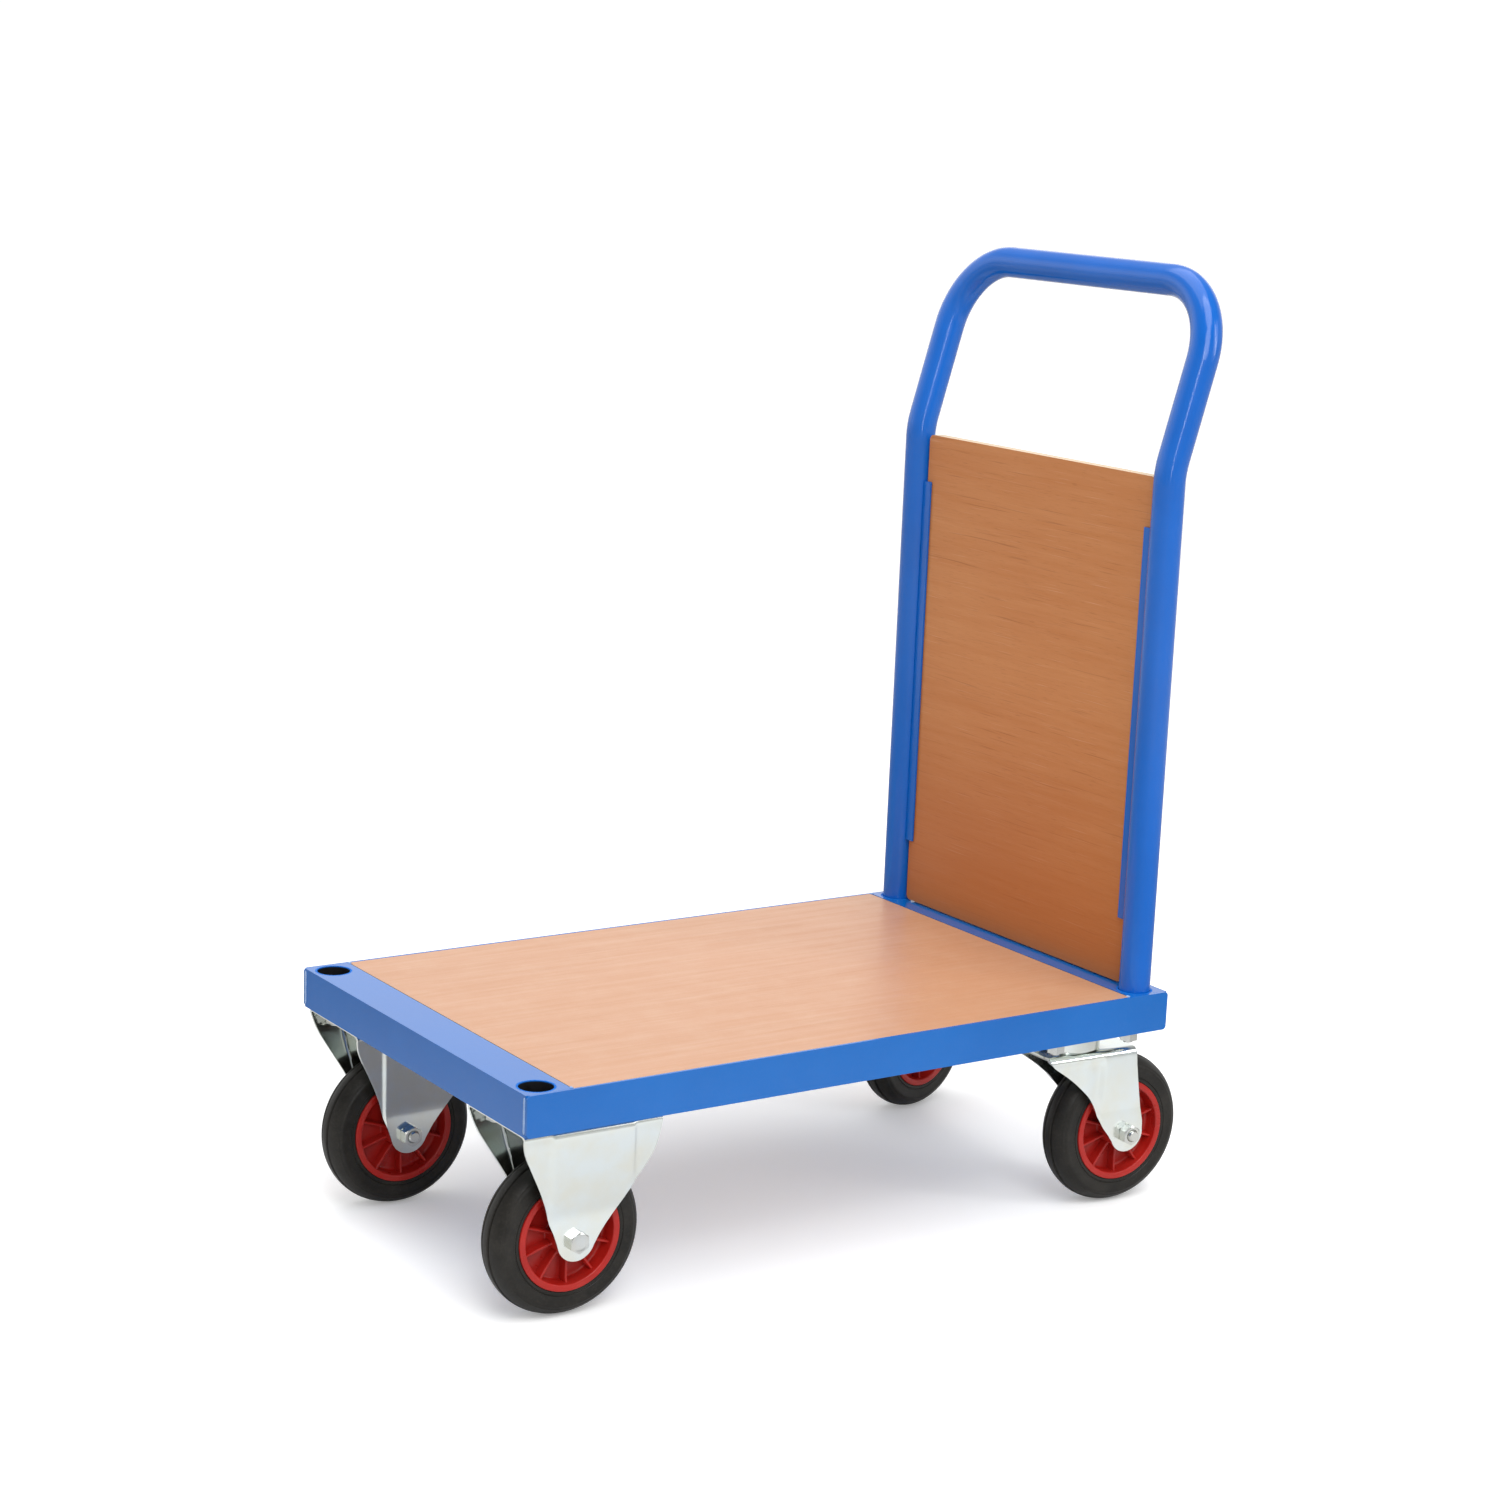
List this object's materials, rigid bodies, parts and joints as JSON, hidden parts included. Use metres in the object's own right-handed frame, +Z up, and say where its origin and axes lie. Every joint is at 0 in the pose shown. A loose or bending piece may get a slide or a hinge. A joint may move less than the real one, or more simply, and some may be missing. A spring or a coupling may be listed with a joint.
{
  "type": "flatbed platform truck",
  "caption": "Flatbed platform truck: a flush wooden deck in a low steel frame, a lift-out push handle with a back panel, fixed castors at the front and swivel castors under the handle.",
  "frame": {"origin": "on the floor, on the centre line, midway along the overall length", "axes": "+X towards the handle end, +Y to the right-hand side of the person pushing, +Z up"},
  "size_m": [0.8234, 0.46, 0.9688],
  "materials": {
    "blue_paint": "gloss powder coat",
    "bright_zinc": "bright zinc plate",
    "deck_plywood": "satin",
    "panel_plywood": "satin varnish",
    "tyre_rubber": "matt",
    "red_plastic": "semi-gloss",
    "black_plastic": "matt"
  },
  "bodies": {
    "chassis": {"front_beam": "blue_paint", "rear_beam": "blue_paint", "left_side_rail": "blue_paint", "right_side_rail": "blue_paint", "cross_members": "blue_paint", "front_castor_bearer": "blue_paint", "rear_castor_bearer": "blue_paint", "front_left_socket": "blue_paint", "front_right_socket": "blue_paint", "rear_left_socket": "blue_paint", "rear_right_socket": "blue_paint", "deck_board": "deck_plywood", "deck_screws": "bright_zinc", "castor_bolts": "bright_zinc", "castor_nuts": "bright_zinc", "castor_washers": "bright_zinc", "front_left_fork": "bright_zinc", "front_right_fork": "bright_zinc", "front_axle_bolts": "bright_zinc", "front_axle_nuts": "bright_zinc", "front_axle_sleeves": "bright_zinc", "front_axle_spacers": "black_plastic", "left_swivel_plate": "bright_zinc", "right_swivel_plate": "bright_zinc", "kingpins": "bright_zinc", "kingpin_nuts": "bright_zinc"},
    "handle_end": {"handle_tube": "blue_paint", "back_panel": "panel_plywood", "left_panel_channel": "blue_paint", "right_panel_channel": "blue_paint", "panel_screws": "bright_zinc"},
    "front_left_wheel": {"front_left_wheel_centre": "red_plastic", "front_left_tyre": "tyre_rubber", "front_left_bearing": "bright_zinc"},
    "front_right_wheel": {"front_right_wheel_centre": "red_plastic", "front_right_tyre": "tyre_rubber", "front_right_bearing": "bright_zinc"},
    "left_swivel_castor": {"left_swivel_fork": "bright_zinc", "left_swivel_race": "bright_zinc", "left_swivel_balls": "bright_zinc", "left_rear_axle_bolt": "bright_zinc", "left_rear_axle_nut": "bright_zinc", "left_rear_axle_sleeve": "bright_zinc", "left_rear_axle_spacers": "black_plastic"},
    "right_swivel_castor": {"right_swivel_fork": "bright_zinc", "right_swivel_race": "bright_zinc", "right_swivel_balls": "bright_zinc", "right_rear_axle_bolt": "bright_zinc", "right_rear_axle_nut": "bright_zinc", "right_rear_axle_sleeve": "bright_zinc", "right_rear_axle_spacers": "black_plastic"},
    "rear_left_wheel": {"rear_left_wheel_centre": "red_plastic", "rear_left_tyre": "tyre_rubber", "rear_left_bearing": "bright_zinc"},
    "rear_right_wheel": {"rear_right_wheel_centre": "red_plastic", "rear_right_tyre": "tyre_rubber", "rear_right_bearing": "bright_zinc"}
  },
  "joints": [
    {"name": "handle_lift", "type": "slide", "parent": "chassis", "child": "handle_end", "axis": [0, 0, 1], "range_m": [0, 0.04]},
    {"name": "front_left_wheel_spin", "type": "hinge", "parent": "chassis", "child": "front_left_wheel", "pos_m": [-0.33174, -0.168, 0.08], "axis": [0, 1, 0], "continuous": true},
    {"name": "front_right_wheel_spin", "type": "hinge", "parent": "chassis", "child": "front_right_wheel", "pos_m": [-0.33174, 0.168, 0.08], "axis": [0, 1, 0], "continuous": true},
    {"name": "left_swivel", "type": "hinge", "parent": "chassis", "child": "left_swivel_castor", "pos_m": [0.26986, -0.164, 0.17], "axis": [0, 0, 1], "continuous": true},
    {"name": "right_swivel", "type": "hinge", "parent": "chassis", "child": "right_swivel_castor", "pos_m": [0.26986, 0.164, 0.17], "axis": [0, 0, 1], "continuous": true},
    {"name": "rear_left_wheel_spin", "type": "hinge", "parent": "left_swivel_castor", "child": "rear_left_wheel", "pos_m": [0.3318, -0.1667, 0.08], "axis": [0.0436, 0.999, 0], "continuous": true},
    {"name": "rear_right_wheel_spin", "type": "hinge", "parent": "right_swivel_castor", "child": "rear_right_wheel", "pos_m": [0.32975, 0.18005, 0.08], "axis": [-0.2588, 0.9659, 0], "continuous": true}
  ]
}
